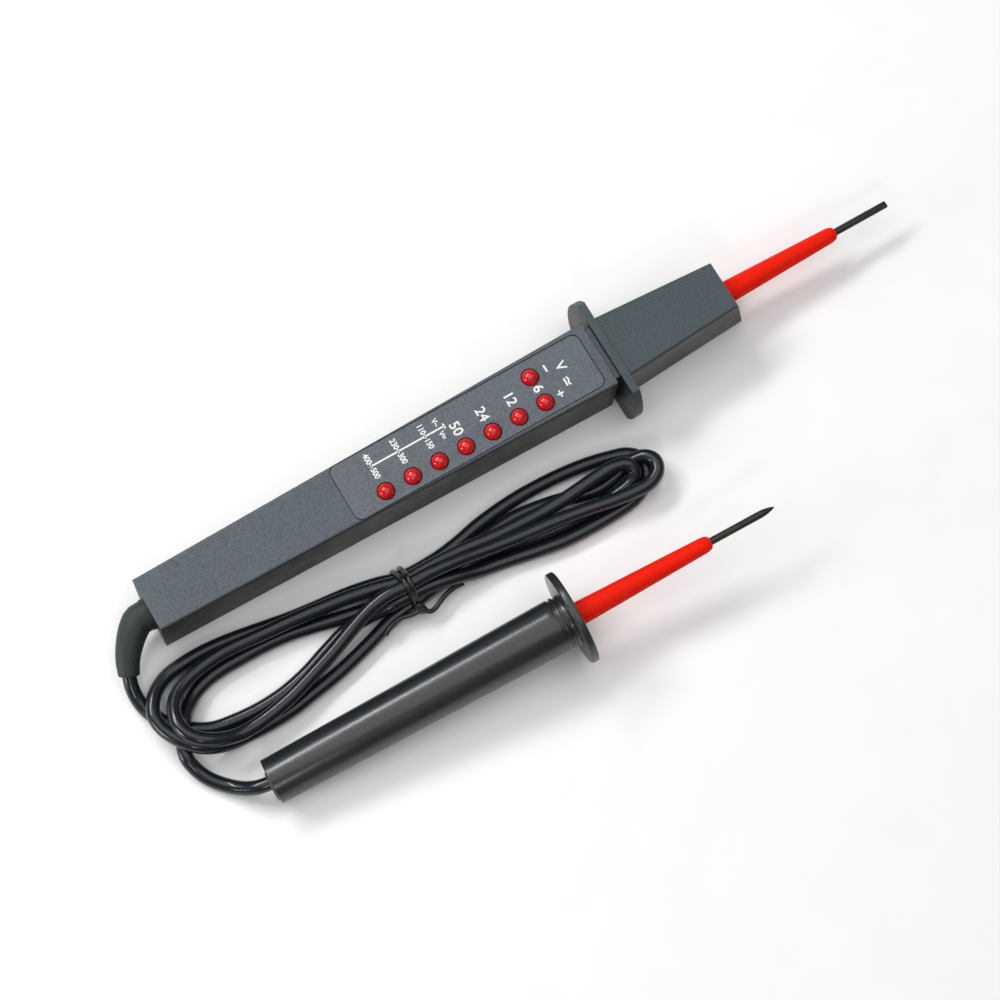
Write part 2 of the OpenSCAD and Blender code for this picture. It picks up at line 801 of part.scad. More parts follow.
module probe_end_plug() {
  color("#222527") at_probe() difference() {
    union() {
      turned([[plug_proud - bite, 0], [plug_proud - bite, plug_r],
        [plug_proud + plug_len, plug_r], [plug_proud + plug_len, 0]]);
      translate([0, -plug_boss_shift, 0])
        turned([[0, 0], [0, plug_boss_r - plug_boss_bevel], [plug_boss_bevel, plug_boss_r],
          [plug_proud - seam, plug_boss_r], [plug_proud - seam, 0]]);
    }
    rotate([0, 90, 0]) translate([0, 0, -over])
      cylinder(r = plug_mouth_r, h = plug_mouth_len + over, $fn = 48);
    rotate([0, 90, 0])
      cylinder(r = core_sheath_r + fit_gap, h = plug_proud + plug_len + over, $fn = 48);
  }
}

module probe_core() {
  color("#1c2126") at_probe() turned([
    [core_x0, 0], [core_x0, core_sheath_r], [core_x0 + core_sheath_len, core_sheath_r],
    [core_x0 + core_sheath_len, core_r], [core_x1, core_r], [core_x1, 0]
  ]);
}

module probe_crimp() {
  color("#b59a4a") at_probe() turned([
    [crimp_x0, core_r + slide_gap], [crimp_x0, crimp_r], [crimp_x1, crimp_r],
    [crimp_x1, shank_r + slide_gap], [crimp_step_x, shank_r + slide_gap],
    [crimp_step_x, core_r + slide_gap]
  ]);
}

module probe_pin() {
  color("#4a4844") at_probe() turned([
    [pin_x0, 0], [pin_x0, shank_r], [probe_sleeve_x1, shank_r],
    [probe_sleeve_x1, tip_r], [probe_tip_x1 - pin_point, tip_r],
    [probe_tip_x1, pin_end_r], [probe_tip_x1, 0]
  ]);
}

module probe_sleeve() {
  at_probe() sleeve(probe_sleeve_x0, flange_x1, probe_sleeve_x1);
}

body_shell();
base_cover();
cover_screws();
nose_guard();
scale_panel();
circuit_board();
led_1();
led_2();
led_3();
led_4();
led_5();
led_6();
led_7();
led_8();
led_leads();
resistors();
diodes();
transistors();
tip_rod();
tip_sleeve();
tip_holder();
tip_wire();
boot_collar();
lead_boot();
cord_clamp();
clamp_screws();
inner_lead();
lead_wires();
cord_lead_main();
cord_hank();
cord_tie();
cord_lead_probe();
probe_handle();
probe_end_plug();
probe_core();
probe_crimp();
probe_pin();
probe_sleeve();
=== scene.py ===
"""Circuit test light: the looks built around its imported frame. Metres, row frame."""
import math

import bpy
import numpy as np
from mathutils import Matrix, Vector


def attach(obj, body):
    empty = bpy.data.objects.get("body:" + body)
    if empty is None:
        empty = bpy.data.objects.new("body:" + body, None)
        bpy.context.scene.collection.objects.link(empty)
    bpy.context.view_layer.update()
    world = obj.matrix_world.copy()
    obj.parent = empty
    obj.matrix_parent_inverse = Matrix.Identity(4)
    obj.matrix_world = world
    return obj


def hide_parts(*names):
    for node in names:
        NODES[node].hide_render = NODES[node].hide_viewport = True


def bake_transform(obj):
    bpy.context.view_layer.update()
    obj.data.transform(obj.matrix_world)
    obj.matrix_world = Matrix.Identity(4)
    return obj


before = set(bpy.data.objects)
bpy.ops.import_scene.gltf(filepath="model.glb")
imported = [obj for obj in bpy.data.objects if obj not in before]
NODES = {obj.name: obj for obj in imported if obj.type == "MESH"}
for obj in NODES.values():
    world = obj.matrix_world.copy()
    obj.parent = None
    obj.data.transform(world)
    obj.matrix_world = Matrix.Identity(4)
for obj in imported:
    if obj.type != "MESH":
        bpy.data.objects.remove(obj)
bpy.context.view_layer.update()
# lengths and tables of points below are in mm unless a comment says metres
MM = 0.001
# a profile's radius where it meets its axis
CENTRE = 0.01


# ---- camera ----

# in metres
CAMERA_AT = Vector((-0.0975, -0.1656, 0.6838))
LOOK_AT = Vector((0.0305, -0.0188, 0.0))
CAMERA_ROLL = math.radians(10.6)
LENS = 87.66
SENSOR = 36


def make_camera():
    data = bpy.data.cameras.new("camera")
    data.lens = LENS
    data.sensor_width = SENSOR
    data.clip_start = 0.01
    data.clip_end = 20
    camera = bpy.data.objects.new("camera", data)
    bpy.context.scene.collection.objects.link(camera)
    forward = (LOOK_AT - CAMERA_AT).normalized()
    level_right = forward.cross(Vector((0, 0, 1))).normalized()
    level_up = level_right.cross(forward)
    right = level_right * math.cos(CAMERA_ROLL) + level_up * math.sin(CAMERA_ROLL)
    up = level_up * math.cos(CAMERA_ROLL) - level_right * math.sin(CAMERA_ROLL)
    turn = Matrix((right, up, -forward)).transposed()
    camera.matrix_world = Matrix.Translation(CAMERA_AT) @ turn.to_4x4()
    bpy.context.scene.camera = camera


make_camera()


# ---- mesh helpers ----

def add_mesh(name, points, faces, sharp=35):
    mesh = bpy.data.meshes.new(name)
    mesh.from_pydata([tuple(p) for p in points], [], faces)
    mesh.update()
    mesh.shade_smooth()
    mesh.set_sharp_from_angle(angle=math.radians(sharp))
    piece = bpy.data.objects.new(name, mesh)
    bpy.context.scene.collection.objects.link(piece)
    return piece


def ring_faces(rings, shaded_sides, closed=False):
    """Quads between rings of as many points each, capped unless the rings close on themselves."""
    faces = []
    for i in range(rings if closed else rings - 1):
        a, b = i * shaded_sides, (i + 1) % rings * shaded_sides
        for j in range(shaded_sides):
            k = (j + 1) % shaded_sides
            faces.append((a + j, a + k, b + k, b + j))
    if not closed:
        faces.append(tuple(range(shaded_sides))[::-1])
        faces.append(tuple((rings - 1) * shaded_sides + j for j in range(shaded_sides)))
    return faces


def lathe(name, profile, place, shaded_sides=96, closed=False):
    """A profile of (along, radius) points in mm turned round the local X axis."""
    points = []
    for along, radius in profile:
        for j in range(shaded_sides):
            angle = 2 * math.pi * j / shaded_sides
            y = radius * math.cos(angle)
            z = radius * math.sin(angle)
            points.append(place @ Vector((along * MM, y * MM, z * MM)))
    return add_mesh(name, points, ring_faces(len(profile), shaded_sides, closed))


def arc(centre_x, centre_r, radius, start, end, steps=8):
    """Profile points on an arc, with angles in degrees from the +X axis towards larger radii."""
    out = []
    for i in range(steps + 1):
        angle = math.radians(start + (end - start) * i / steps)
        out.append((centre_x + radius * math.cos(angle), centre_r + radius * math.sin(angle)))
    return out


def smooth_line(points, step):
    """Points every step mm along a centripetal Catmull-Rom curve through the given points."""
    given = [np.array(p, float) for p in points]
    given = [2 * given[0] - given[1]] + given + [2 * given[-1] - given[-2]]
    line = []
    for p0, p1, p2, p3 in zip(given, given[1:], given[2:], given[3:]):
        t1 = np.linalg.norm(p1 - p0) ** 0.5
        t2 = t1 + np.linalg.norm(p2 - p1) ** 0.5
        t3 = t2 + np.linalg.norm(p3 - p2) ** 0.5
        count = max(1, round(np.linalg.norm(p2 - p1) / step))
        for i in range(count):
            t = t1 + (t2 - t1) * i / count
            a1 = p0 + (p1 - p0) * t / t1
            a2 = p1 + (p2 - p1) * (t - t1) / (t2 - t1)
            a3 = p2 + (p3 - p2) * (t - t2) / (t3 - t2)
            b1 = a1 + (a2 - a1) * t / t2
            b2 = a2 + (a3 - a2) * (t - t1) / (t3 - t1)
            line.append(b1 + (b2 - b1) * (t - t1) / (t2 - t1))
    line.append(given[-2])
    return line


def tube(name, line, radii, shaded_sides=20, sharp=35):
    """A tube through a line of points in mm, with one radius or one for each point."""
    if not isinstance(radii, (list, tuple)):
        radii = [radii] * len(line)
    line = [Vector(p) for p in line]
    side = (line[1] - line[0]).orthogonal().normalized()
    points = []
    for i, point in enumerate(line):
        ahead = (line[min(i + 1, len(line) - 1)] - line[max(i - 1, 0)]).normalized()
        side = (side - ahead * side.dot(ahead)).normalized()
        other = ahead.cross(side)
        for j in range(shaded_sides):
            angle = 2 * math.pi * j / shaded_sides
            out = side * math.cos(angle) + other * math.sin(angle)
            points.append((point + out * radii[i]) * MM)
    return add_mesh(name, points, ring_faces(len(line), shaded_sides), sharp)


# ---- the cord: its lead, its hank and its lead to the probe ----

CORD_R = 2.1
# how far apart the cord's rings stand
CORD_STEP = 0.9

# the uncoiled stretches in metres, as in the CAD source
LEAD_MAIN = [
    (-0.0873, -0.0115, 0.0064), (-0.0883, -0.0146, 0.0048), (-0.0886, -0.0178, 0.0032),
    (-0.0882, -0.0210, 0.0022), (-0.0872, -0.0240, 0.0021),
]
LEAD_PROBE = [
    (-0.0848, -0.0402, 0.0044), (-0.0842, -0.0436, 0.0030), (-0.0828, -0.0470, 0.0021),
    (-0.0806, -0.0502, 0.0021), (-0.0778, -0.0533, 0.0027), (-0.0748, -0.0559, 0.0043),
    (-0.0717, -0.0576, 0.0060), (-0.0685, -0.0583, 0.0066),
]
LEAD_END = (-0.0655, -0.0584, 0.0068)

# each turn of the hank in mm: out along the lower side, round the right fold, back along the
# upper side, and over the left fold to the next turn or to the probe's lead
TURNS = [
    {
        "out": [
            (-84.8, -28.1, 2.1), (-82.2, -31.1, 2.1), (-79.8, -33, 2.1), (-77, -34.8, 2.1),
            (-73.8, -36.2, 2.1), (-68.2, -37.2, 2.1), (-60, -37.8, 2.1), (-52, -37.3, 2.1),
            (-43.7, -35.5, 2.1), (-35.4, -32.7, 2.1), (-28, -30.6, 2.3), (-20, -30.4, 3.6),
            (-13, -31.2, 5.5), (-6.5, -31.4, 5.8), (0, -32, 5.8), (5.5, -33, 5),
            (14, -34.6, 2.8), (22.8, -36, 2.1), (32.3, -37.9, 2.1), (40.6, -39.2, 2.1),
            (49.2, -39.6, 2.1), (57, -39.5, 2.1), (63.5, -38.9, 2.1),
        ],
        "fold": [
            (67.8, -37.3, 2.1), (71, -34.8, 2.1), (72.5, -31.5, 2.1), (72, -28.2, 2.1),
            (69.2, -25.8, 2.1), (65, -24.4, 2.1),
        ],
        "back": [
            (59.8, -23.1, 2.1), (53, -22, 2.1), (44.6, -21.3, 2.1), (33.7, -21.2, 2.1),
            (21.5, -22.4, 2.1), (12, -24.3, 2.1), (4.4, -25.2, 2.1), (-6.5, -25, 2.1),
            (-13.7, -23, 2.1), (-22, -21.4, 2.1), (-31, -20.4, 2.1), (-40, -19.3, 2.1),
            (-48.5, -17.8, 2.1), (-58.6, -16.1, 2.1), (-66.3, -15.4, 2.1), (-72, -15.5, 2.2),
        ],
        "over": [
            (-77.7, -16.3, 2.8), (-81.9, -18.3, 4), (-85.1, -21.4, 5.4), (-86.9, -25.1, 6.3),
            (-86.8, -29.3, 6.8), (-85.3, -33.2, 7.4), (-82.9, -36.9, 7.8), (-79.6, -40, 7),
            (-75.2, -41.9, 4.8), (-71, -42.5, 2.8),
        ],
    },
    {
        "out": [
            (-66, -42.7, 2.1), (-60, -42.9, 2.1), (-52, -42.6, 2.1), (-45.4, -41.6, 2.1),
            (-39.9, -40.8, 2.1), (-34.6, -39.8, 2.1), (-29, -38.4, 2.1), (-23.5, -36.9, 2.1),
            (-18, -35.2, 2.1), (-12.2, -33.8, 2.1), (-6.5, -33.2, 2.1), (0, -32.2, 2.1),
            (5.5, -31.6, 2.1), (12, -31, 2.1), (18, -31, 2.1), (24, -31.9, 2.1),
            (31, -33.6, 2.1), (40, -35, 2.1), (49, -35.3, 2.1), (56, -35.1, 2.2),
        ],
        "fold": [
            (61.5, -34.9, 2.9), (65.8, -34, 4.2), (68, -31.9, 5.6), (67, -29.4, 6.6),
            (63.3, -28.2, 6.7),
        ],
        "back": [
            (58, -28.2, 6.4), (51, -28.8, 6.1), (45, -29.2, 5.8), (38, -29.3, 5.6),
            (30, -29, 5.7),
            (22, -28.5, 5.8), (14, -27.6, 5.9), (6, -27.1, 5.9), (-6.5, -26.7, 5.8),
            (-14.6, -24.8, 5.8), (-23, -23.1, 5.9), (-32, -21.9, 6), (-40.6, -20.9, 5.9),
            (-49.6, -20.1, 5.6), (-56, -19.4, 5.3), (-61.9, -19.1, 5.2), (-68.2, -19.6, 5.3),
        ],
        "over": [
            (-73.8, -20.9, 5.8), (-77.9, -23, 6.8), (-80.9, -26.2, 8.2), (-82.2, -29.8, 9.6),
            (-82.2, -33.2, 10.4), (-80.8, -36.6, 10.9), (-77.9, -39.3, 10.4), (-74, -41.1, 8.8),
            (-69, -42.1, 6.8),
        ],
    },
    {
        "out": [
            (-62, -41.9, 6.1), (-51.6, -40.1, 6), (-40.4, -36.7, 6.1), (-34.7, -34.8, 6.3),
            (-28.7, -32.6, 6.9), (-22.8, -30.6, 8), (-18, -29.4, 9), (-13, -28.9, 9.4),
            (-6.5, -29.2, 9.4), (0, -29.2, 9.2), (8.5, -29.8, 8.2), (14, -30.4, 7.2),
            (20, -31.2, 6.4), (31, -32.6, 5.9), (40, -33.6, 5.9), (50, -35.2, 5.9),
            (58, -36.7, 6),
        ],
        "fold": [
            (65, -37.6, 6.3), (70, -37.5, 6.4), (73.7, -35.4, 6.4), (74.7, -32.3, 6.2),
            (73.1, -29.8, 5.4), (70.3, -28.8, 4.1),
        ],
        "back": [
            (67, -28.9, 2.7), (63, -30, 2.1), (57, -30.8, 2.1), (51, -29.8, 2.1),
            (45, -28, 2.1), (37, -26.5, 2.1), (31, -25.9, 2.1), (24, -26.3, 2.1),
            (18, -27.1, 2.1), (10, -28.1, 2.1), (-6.5, -29.2, 2.1), (-13, -29.3, 2.1),
            (-20, -28.1, 2.1), (-28, -26.4, 2.1), (-35, -24.8, 2.1), (-43, -23.2, 2.1),
            (-50.5, -22.5, 2.1), (-58, -22.4, 2.1), (-64.2, -22.5, 2.1), (-69.4, -23.2, 2.1),
            (-73.9, -24.8, 2.3),
        ],
        "over": [(-77.8, -27.7, 3.6), (-80.5, -31, 5.4), (-82.6, -34, 5.2), (-84.1, -37, 4.7)],
    },
]


def cord_line():
    line = [np.array(p) / MM for p in LEAD_MAIN]
    for turn in TURNS:
        for stretch in ("out", "fold", "back", "over"):
            line += [np.array(p, float) for p in turn[stretch]]
    line += [np.array(p) / MM for p in LEAD_PROBE + [LEAD_END]]
    return smooth_line(line, CORD_STEP)


cord_path = cord_line()
cord = tube("cord", cord_path, CORD_R)


# the boot narrows along the cord's bend from the collar
BOOT_LINE = [
    (-75.2, 0, 10.5), (-76.4, 0, 10.5), (-77.6, 0, 10.5), (-80.3, -1.9, 10.1),
    (-83.2, -4.8, 9.1), (-85.6, -8, 7.8), (-87.3, -11.5, 6.4),
]
BOOT_RADII = [4.6, 4.5, 4.3, 4, 3.7, 3.4, 3.1]
BOOT_STEP = 0.8
# the end rolls in to close on the cord: how far past the line's end, and the radius
BOOT_ROLL = [(0.35, BOOT_RADII[-1] - 0.12), (0.55, BOOT_RADII[-1] - 0.45), (0.45, CORD_R - 0.05)]


def make_boot():
    line = smooth_line(BOOT_LINE, BOOT_STEP)
    share = np.linspace(0, 1, len(line))
    radii = list(np.interp(share, np.linspace(0, 1, len(BOOT_RADII)), BOOT_RADII))
    end = line[-1]
    ahead = (end - line[-2]) / np.linalg.norm(end - line[-2])
    for past, radius in BOOT_ROLL:
        line.append(end + past * ahead)
        radii.append(radius)
    return tube("boot", line, radii, shaded_sides=40, sharp=50)


boot = make_boot()


# the twisted wire tie: two turns round the waist, a knot and two tails
TIE_R = 0.75
TIE_STEP = 0.7
# how far the wire's middle stands from a strand's, pressed a little into the jacket
TIE_REACH = CORD_R + TIE_R - 0.1
WAIST_X = -6.2
WAIST_Y = -29
WAIST_HALF = 6
# the strands round the waist as (y, z), each with the angles that the wire lies on
WAIST_STRANDS = [
    (-25, 2.1, (-30, 0, 30)), (-26.7, 5.8, (30, 50)), (-29.2, 9.4, (50, 90, 130)),
    (-31.4, 5.8, (140, 165)), (-33.2, 2.1, (150, 180, 215)),
]
# where the wire passes under the strands, before it is lifted onto the floor
WAIST_UNDER = [(-33.6, -0.4), (-24.6, -0.4)]
TIE_FRONT = [
    (-6.4, -35.8, 5), (-5.6, -37.2, 4.4), (-4.4, -38.1, 4), (-2.6, -37.9, 3.8), (-0.6, -37, 3.9),
    (2, -36, 3.8), (5, -35.4, 3.4), (8, -35.4, 2.6),
]
TIE_REAR = [
    (-6.4, -35.6, 5), (-7.9, -36.4, 4.6), (-10, -36.2, 4.2), (-12.2, -35.6, 4), (-14.6, -35.6, 4),
    (-17, -36.4, 4.2), (-19, -37.6, 3.6),
]
KNOT_AT = (-6.4, -36.2, 5)
KNOT_R = 0.75
KNOT_LENGTH = 3.6
KNOT_POINTS = 41
# degrees from one point to the next
KNOT_TURN = 27
# how far the knot leans for each mm along it
KNOT_LEAN = (0.2, -0.55, -0.5)


def tie_turn(shift, lean):
    """One turn of wire round the pyramid of strands at the waist."""
    hull = list(WAIST_UNDER)
    for y, z, angles in WAIST_STRANDS:
        for angle in angles:
            turn = math.radians(angle)
            hull.append((y + TIE_REACH * math.cos(turn), z + TIE_REACH * math.sin(turn)))
    points = []
    for y, z in hull:
        points.append((WAIST_X + shift + lean * (y - WAIST_Y) / WAIST_HALF, y, max(z, TIE_R)))
    points.append(points[0])
    return smooth_line(points, TIE_STEP)


def tie_knot():
    """The wire wound on itself where its two ends meet."""
    knot = []
    for i in range(KNOT_POINTS):
        angle = math.radians(i * KNOT_TURN)
        along = (i / (KNOT_POINTS - 1) - 0.5) * KNOT_LENGTH
        x, y, z = (at + lean * along for at, lean in zip(KNOT_AT, KNOT_LEAN))
        knot.append((x + KNOT_R * math.cos(angle), y, z + KNOT_R * math.sin(angle)))
    return knot


def join(name, made):
    """Joins pieces into the first of them."""
    with bpy.context.temp_override(active_object=made[0], selected_editable_objects=made):
        bpy.ops.object.join()
    made[0].name = name
    made[0].data.name = name
    return made[0]


def make_tie():
    lines = [tie_turn(0, 0.5), tie_turn(-1.3, -0.4)]
    lines += [smooth_line(TIE_FRONT, TIE_STEP), smooth_line(TIE_REAR, TIE_STEP), tie_knot()]
    return join("tie", [tube("tie_wire", line, TIE_R, shaded_sides=12) for line in lines])


tie = make_tie()


# ---- materials ----

# noise scales, in waves to a metre: a slow change of tone, and rubbed patches
SLOW_SCALE = 70
RUBBED_SCALE = 260
RELIEF_DEPTH = 0.0002
# the Mix node's colour sockets
MIX_FIRST, MIX_SECOND, MIX_RESULT = 6, 7, 2


def noise(tree, coordinates, scale, detail=4, rough=0.55, stretch=None):
    node = tree.nodes.new("ShaderNodeTexNoise")
    node.inputs["Scale"].default_value = scale
    node.inputs["Detail"].default_value = detail
    node.inputs["Roughness"].default_value = rough
    source = coordinates
    if stretch:
        mapping = tree.nodes.new("ShaderNodeMapping")
        mapping.inputs["Scale"].default_value = stretch
        tree.links.new(coordinates, mapping.inputs["Vector"])
        source = mapping.outputs["Vector"]
    tree.links.new(source, node.inputs["Vector"])
    return node.outputs["Fac"]


def spread(tree, value, low, high, start=0.35, end=0.65):
    node = tree.nodes.new("ShaderNodeMapRange")
    node.inputs["From Min"].default_value = start
    node.inputs["From Max"].default_value = end
    node.inputs["To Min"].default_value = low
    node.inputs["To Max"].default_value = high
    tree.links.new(value, node.inputs["Value"])
    return node.outputs["Result"]


def mixed(tree, factor, first, second):
    node = tree.nodes.new("ShaderNodeMix")
    node.data_type = "RGBA"
    tree.links.new(factor, node.inputs["Factor"])
    for socket, value in ((node.inputs[MIX_FIRST], first), (node.inputs[MIX_SECOND], second)):
        if isinstance(value, tuple):
            socket.default_value = (*value, 1)
        else:
            tree.links.new(value, socket)
    return node.outputs[MIX_RESULT]


def material(name, colour, rough, speckle=0.2, grain=1800, relief=0.12, worn=None,
             uneven=0.06, stretch=None, metallic=0, shaded_sides=None, **shine):
    """A surface with a fine speckle, a slow change of tone, an uneven sheen and a fine relief.
    With a colour of painted shade for the sides, only faces that look up keep the grained top's
    colour."""
    made = bpy.data.materials.new(name)
    made.use_nodes = True
    tree = made.node_tree
    shader = tree.nodes["Principled BSDF"]
    place = tree.nodes.new("ShaderNodeTexCoord").outputs["Object"]
    fine = noise(tree, place, grain, 5, stretch=stretch)
    slow = noise(tree, place, SLOW_SCALE, 3)
    dark = tuple(c * (1 - speckle) for c in colour)
    light = tuple(min(1, c * (1 + speckle) + 0.01 * speckle) for c in colour)
    tone = mixed(tree, spread(tree, fine, 0, 1), dark, light)
    broad = mixed(tree, spread(tree, slow, 0, 0.35), tone, light)
    if worn:
        # only the noise's peaks are rubbed
        rubbed = noise(tree, place, RUBBED_SCALE, 8, 0.7)
        broad = mixed(tree, spread(tree, rubbed, 0, 0.5, 0.62, 0.72), broad, worn)
    # painted shade: faces that turn away from straight up get a darker side colour, standing in
    # for the shade on the sides
    if shaded_sides:
        split = tree.nodes.new("ShaderNodeSeparateXYZ")
        facing = tree.nodes.new("ShaderNodeTexCoord").outputs["Normal"]
        tree.links.new(facing, split.inputs[0])
        broad = mixed(tree, spread(tree, split.outputs[2], 0, 1, 0.3, 0.95), shaded_sides, broad)
    tree.links.new(broad, shader.inputs["Base Color"])
    tree.links.new(spread(tree, slow, rough - uneven, rough + uneven), shader.inputs["Roughness"])
    bump = tree.nodes.new("ShaderNodeBump")
    bump.inputs["Strength"].default_value = relief
    bump.inputs["Distance"].default_value = RELIEF_DEPTH
    tree.links.new(fine, bump.inputs["Height"])
    tree.links.new(bump.outputs["Normal"], shader.inputs["Normal"])
    shader.inputs["Metallic"].default_value = metallic
    for key, value in shine.items():
        shader.inputs[key.replace("_", " ")].default_value = value
    return made


# the body's sides take a darker colour of painted shade, and the top keeps the grained colour
BODY = material("body_plastic", (0.075, 0.089, 0.105), 0.45, 0.38, 2300, 0.22,
                worn=(0.14, 0.16, 0.18), shaded_sides=(0.010, 0.011, 0.014), IOR=1.5,
                Specular_IOR_Level=0.3)
PANEL = material("panel_plastic", (0.080, 0.096, 0.113), 0.48, 0.42, 2600, 0.2,
                 worn=(0.13, 0.15, 0.165), IOR=1.5)
# the nose's sides take a darker colour of painted shade, and the top keeps the grained colour
NOSE = material("nose_plastic", (0.042, 0.062, 0.070), 0.4, 0.38, 2300, 0.2,
                worn=(0.10, 0.13, 0.135), shaded_sides=(0.016, 0.018, 0.018), IOR=1.5,
                Specular_IOR_Level=0.35)
COVER = material("cover_plastic", (0.014, 0.015, 0.017), 0.45, 0.3, 2000, 0.2, IOR=1.5)
LAMP = material("lamp_red", (0.54, 0.002, 0.005), 0.2, 0.2, 900, 0.02, IOR=1.5,
                Coat_Weight=0.2, Coat_Roughness=0.08)
SLEEVE = material("sleeve_red", (0.80, 0.012, 0.002), 0.6, 0.1, 1500, 0.14,
                  worn=(0.68, 0.018, 0.004), IOR=1.45, Specular_IOR_Level=0.1)
TIP = material("tip_steel", (0.036, 0.034, 0.028), 0.4, 0.35, 1300, 0.3, stretch=(0.08, 1, 1),
               worn=(0.018, 0.017, 0.015), metallic=0.7, uneven=0.12)
SCREW = material("screw_steel", (0.45, 0.45, 0.44), 0.3, 0.15, 2000, 0.15, metallic=1)
BRASS = material("brass", (0.55, 0.38, 0.13), 0.32, 0.15, 2000, 0.15, metallic=1)
TINNED = material("tinned_wire", (0.6, 0.6, 0.58), 0.3, 0.12, 2000, 0.15, metallic=1)
HANDLE = material("handle_black", (0.010, 0.013, 0.015), 0.3, 0.3, 1500, 0.05, IOR=1.5,
                  worn=(0.014, 0.017, 0.019), uneven=0.03, Coat_Weight=0.25, Coat_Roughness=0.22)
PLUG = material("plug_black", (0.018, 0.019, 0.021), 0.4, 0.25, 1500, 0.15, IOR=1.5)
BOOT = material("boot_rubber", (0.022, 0.030, 0.029), 0.5, 0.3, 1600, 0.2, IOR=1.45,
                Specular_IOR_Level=0.35)
CORD = material("cord_jacket", (0.006, 0.009, 0.013), 0.22, 0.25, 1700, 0.04, IOR=1.5,
                worn=(0.009, 0.012, 0.017), uneven=0.03, Specular_IOR_Level=0.45)
TIE = material("tie_black", (0.008, 0.008, 0.010), 0.34, 0.25, 1800, 0.12, IOR=1.5)
NYLON = material("clamp_nylon", (0.6, 0.58, 0.52), 0.5, 0.12, 1500, 0.15, IOR=1.5)
BOARD = material("board_laminate", (0.05, 0.17, 0.07), 0.45, 0.3, 1500, 0.15, IOR=1.5)
RESISTOR = material("resistor_body", (0.55, 0.38, 0.2), 0.5, 0.25, 1500, 0.15, IOR=1.5)
BLACK = material("black_parts", (0.02, 0.02, 0.022), 0.4, 0.25, 1500, 0.15, IOR=1.5)
WIRE_BLUE = material("wire_blue", (0.02, 0.06, 0.3), 0.4, 0.2, 1500, 0.15, IOR=1.5)
WIRE_RED = material("wire_red", (0.4, 0.015, 0.012), 0.4, 0.2, 1500, 0.15, IOR=1.5)
INK = material("white_ink", (0.78, 0.80, 0.80), 0.5, 0.16, 2600, 0.1, worn=(0.5, 0.53, 0.54))

CAD_FINISH = {
    "body_shell": BODY, "base_cover": COVER, "cover_screws": SCREW, "nose_guard": NOSE,
    "scale_panel": PANEL, "circuit_board": BOARD, "led_leads": TINNED, "resistors": RESISTOR,
    "diodes": BLACK, "transistors": BLACK, "tip_holder": BRASS, "tip_wire": WIRE_RED,
    "boot_collar": BOOT, "cord_clamp": NYLON, "clamp_screws": SCREW, "inner_lead": CORD,
    "lead_wires": WIRE_BLUE, "probe_core": WIRE_RED, "probe_crimp": BRASS, "probe_end_plug": PLUG,
}
for node, finish in CAD_FINISH.items():
    for holder in NODES[node].material_slots:
        holder.material = finish


def finish_piece(piece, look, slot, body, *nodes):
    """Gives a piece its material and its body, and hides the CAD nodes it stands for. The slot
    argument is not used.
    """
    piece.data.materials.clear()
    piece.data.materials.append(look)
    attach(piece, body)
    if nodes:
        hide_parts(*nodes)


cord.data.materials.append(CORD)
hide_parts("cord_lead_main", "cord_hank", "cord_lead_probe")
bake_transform(cord)
finish_piece(boot, BOOT, "boot_rubber", "tester", "lead_boot")
finish_piece(tie, TIE, "tie_black", "tester", "cord_tie")


# ---- lamps ----

LED_PITCH = 8.8
LED_ROW = 7
LED_ROW_Y = -4.9
LED_PAIR = (52.8, 3.8)
LED_R = 2.5
LED_FLANGE_R = 2.78
LED_FLANGE = 1
LED_ROUND = 0.1
LED_TOP = 22.9
LED_FOOT = 17.3


def make_lamp(number, x, y):
    """A domed lamp with a flange at its foot, turned round an upright axis."""
    dome = LED_TOP - LED_R
    rim = LED_FOOT + LED_FLANGE
    profile = [(LED_FOOT, CENTRE), (LED_FOOT, LED_FLANGE_R - LED_ROUND)]
    profile += [(LED_FOOT + LED_ROUND, LED_FLANGE_R), (rim - LED_ROUND, LED_FLANGE_R)]
    profile += [(rim, LED_FLANGE_R - LED_ROUND), (rim, LED_R), (dome, LED_R)]
    profile += arc(dome, 0, LED_R, 90, 0.5, 16)
    stand = Matrix.Translation((x * MM, y * MM, 0)) @ Matrix.Rotation(-math.pi / 2, 4, "Y")
    lamp = lathe(f"lamp_{number}", profile, stand, shaded_sides=48)
    finish_piece(lamp, LAMP, "lamp_red", "tester", f"led_{number}")


for i in range(LED_ROW):
    make_lamp(i + 1, i * LED_PITCH, LED_ROW_Y)
make_lamp(LED_ROW + 1, *LED_PAIR)


# ---- tester tip and probe ----

TIP_AXIS = Matrix.Translation((0, 0, 10.5 * MM))
PROBE = (
    Matrix.Translation((-0.0685, -0.0583, 0.006645))
    @ Matrix.Rotation(math.radians(-2), 4, "Z")
    @ Matrix.Rotation(math.radians(-4.52), 4, "Y")
)
TIP_R = 1.1
SLEEVE_ROOT_R = 3.5
SLEEVE_BORE_R = TIP_R + 0.4
# the sleeve's mouth: how far from its end, and the radius
SLEEVE_MOUTH = [(-2.6, 2.42), (-1.7, 2.34), (-0.9, 2.16), (-0.35, 1.94), (0, 1.6), (0, TIP_R)]
# where each sleeve starts, where its taper starts and where it ends, along its axis
TESTER_SLEEVE = (107.8, 116.8, 157.6)
PROBE_SLEEVE = (89.5, 97.8, 141.6)


def sleeve(name, start, root, end, place):
    """A red sleeve that tapers from its root to a rounded mouth on the tip."""
    profile = [(start, SLEEVE_BORE_R), (start, SLEEVE_ROOT_R), (root, SLEEVE_ROOT_R)]
    profile += [(end + along, radius) for along, radius in SLEEVE_MOUTH]
    return lathe(name, profile, place, closed=True)


BLADE_START = 150
BLADE_FLAT = 171.1
BLADE_END = 176.3
BLADE_EDGE = 0.4
BLADE_ROUND = 0.35
BLADE_TRIM = 0.82
BLADE_STEPS = 8
BLADE_SIDES = 48


